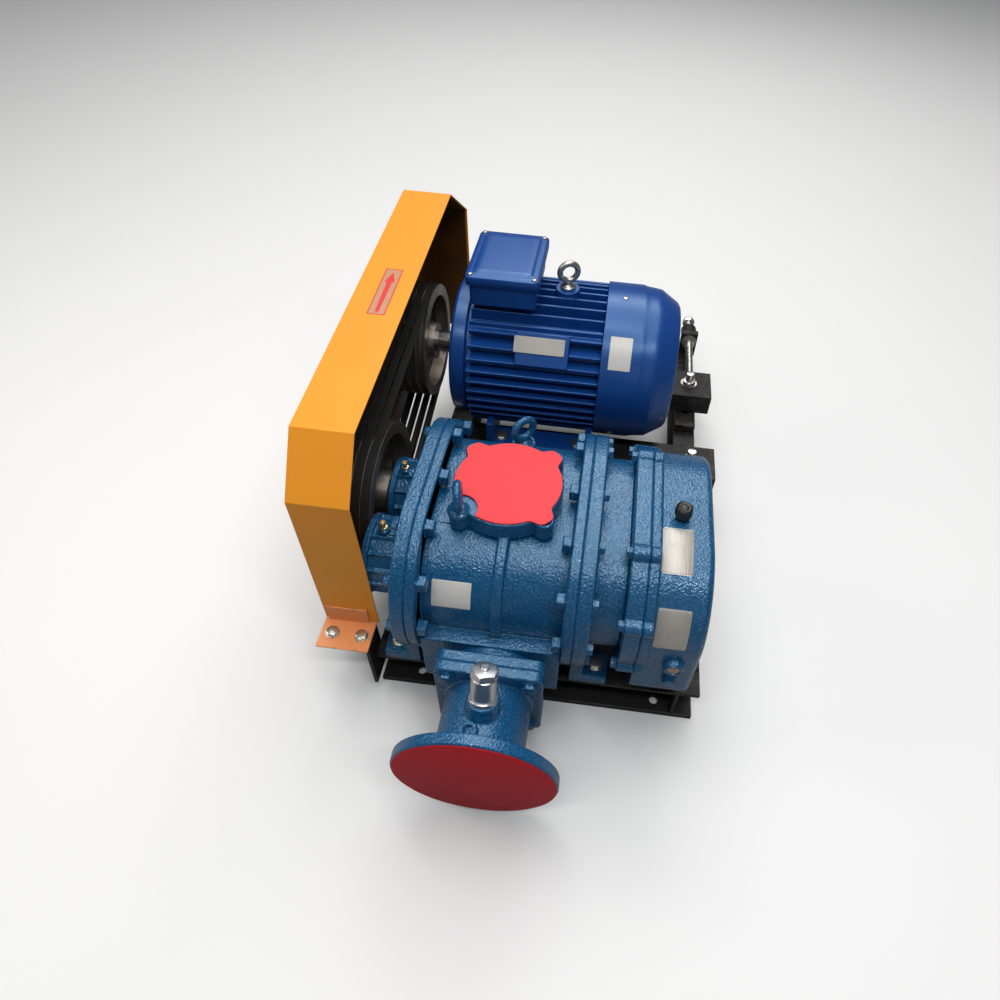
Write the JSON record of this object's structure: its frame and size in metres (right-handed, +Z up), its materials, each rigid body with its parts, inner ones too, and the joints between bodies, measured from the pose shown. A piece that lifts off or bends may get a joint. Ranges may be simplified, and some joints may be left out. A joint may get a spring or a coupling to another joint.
{
  "type": "roots vacuum pump",
  "caption": "Belt-driven roots vacuum pump with three-lobe rotors, timing-gear case, finned motor, belt guard and discharge relief valve, on a channel-steel base.",
  "frame": {"origin": "middle of the four foundation holes, on the floor under the base", "axes": "+X along the rotor and motor shafts from the belt side towards the gear case, +Y from the discharge flange towards the motor, +Z up"},
  "size_m": [0.598, 1.0998, 0.497],
  "materials": {
    "guard_paint": "gloss",
    "pump_paint": "hammered",
    "motor_paint": "gloss",
    "frame_paint": "satin",
    "iron": "machined",
    "steel": "machined",
    "zinc": "zinc plated",
    "rubber": "matt",
    "brass": "machined",
    "aluminium": "machined",
    "cover_red": "matt",
    "black_plastic": "matt",
    "glass": "clear"
  },
  "bodies": {
    "pump_set": {"base_front_rail": "frame_paint", "base_rear_rail": "frame_paint", "base_left_rail": "frame_paint", "base_right_rail": "frame_paint", "base_cross_rail": "frame_paint", "slide_pads": "frame_paint", "motor_front_bar": "frame_paint", "motor_rear_bar": "frame_paint", "jack_brackets": "frame_paint", "guard_bracket": "frame_paint", "jack_bolts": "zinc", "clamp_bolts": "zinc", "guard_bolts": "zinc", "motor_foot_bolts": "zinc", "pump_foot_bolts": "zinc", "motor_eyebolt": "zinc", "belt_guard": "guard_paint", "guard_foot": "guard_paint", "v_belts": "rubber", "shaft_seals": "rubber", "motor_stator": "iron", "motor_bearings": "steel", "drive_rotor_bearings": "steel", "driven_rotor_bearings": "steel", "relief_valve_spring": "steel", "motor_frame": "motor_paint", "motor_drive_shield": "motor_paint", "motor_rear_shield": "motor_paint", "fan_cover": "motor_paint", "terminal_box": "motor_paint", "terminal_box_lid": "motor_paint", "terminal_box_screws": "zinc", "pump_casing": "pump_paint", "drive_end_plate": "pump_paint", "gear_end_plate": "pump_paint", "drive_bearing_housing": "pump_paint", "driven_bearing_housing": "pump_paint", "gear_case_back": "pump_paint", "gear_case_cover": "pump_paint", "lifting_eyes": "pump_paint", "drain_plug": "pump_paint", "gear_case_bolts": "pump_paint", "end_plate_bolts": "pump_paint", "outlet_pipe": "pump_paint", "square_flange_bolts": "pump_paint", "grease_nipples": "brass", "sight_glass": "glass", "relief_valve_body": "aluminium"},
    "drive_shaft": {"drive_rotor": "iron", "drive_gear": "steel", "pump_pulley": "iron"},
    "driven_shaft": {"driven_rotor": "iron", "driven_gear": "steel"},
    "motor_shaft": {"motor_rotor": "steel", "cooling_fan": "black_plastic", "motor_pulley": "iron"},
    "valve_disc": {"relief_valve_disc": "brass"},
    "inlet_cap": {"inlet_cover": "cover_red"},
    "outlet_cap": {"outlet_cover": "cover_red"},
    "breather": {"breather_cap": "black_plastic"}
  },
  "joints": [
    {"name": "drive_shaft_spin", "type": "hinge", "parent": "pump_set", "child": "drive_shaft", "pos_m": [-0.064, -0.2185, 0.223], "axis": [1, 0, 0], "continuous": true},
    {"name": "driven_shaft_spin", "type": "hinge", "parent": "pump_set", "child": "driven_shaft", "pos_m": [-0.064, -0.3355, 0.223], "axis": [1, 0, 0], "continuous": true},
    {"name": "motor_shaft_spin", "type": "hinge", "parent": "pump_set", "child": "motor_shaft", "pos_m": [-0.07, 0.112, 0.273], "axis": [1, 0, 0], "continuous": true},
    {"name": "relief_valve_lift", "type": "slide", "parent": "pump_set", "child": "valve_disc", "axis": [0, 0.4226, 0.9063], "range_m": [0, 0.005], "stiffness_N_per_m": 8000, "springref_m": -0.004, "deforming": ["relief_valve_spring"]},
    {"name": "inlet_cover_lift", "type": "slide", "parent": "pump_set", "child": "inlet_cap", "axis": [0, 0, 1], "range_m": [0, 0.12]},
    {"name": "outlet_cover_lift", "type": "slide", "parent": "pump_set", "child": "outlet_cap", "axis": [0, -1, 0], "range_m": [0, 0.12]},
    {"name": "breather_cap_lift", "type": "slide", "parent": "pump_set", "child": "breather", "axis": [0, 0, 1], "range_m": [0, 0.05]}
  ],
  "couplings": [
    {"joint": "driven_shaft_spin", "follows": "drive_shaft_spin", "ratio": -1},
    {"joint": "motor_shaft_spin", "follows": "drive_shaft_spin", "ratio": 1.12}
  ]
}
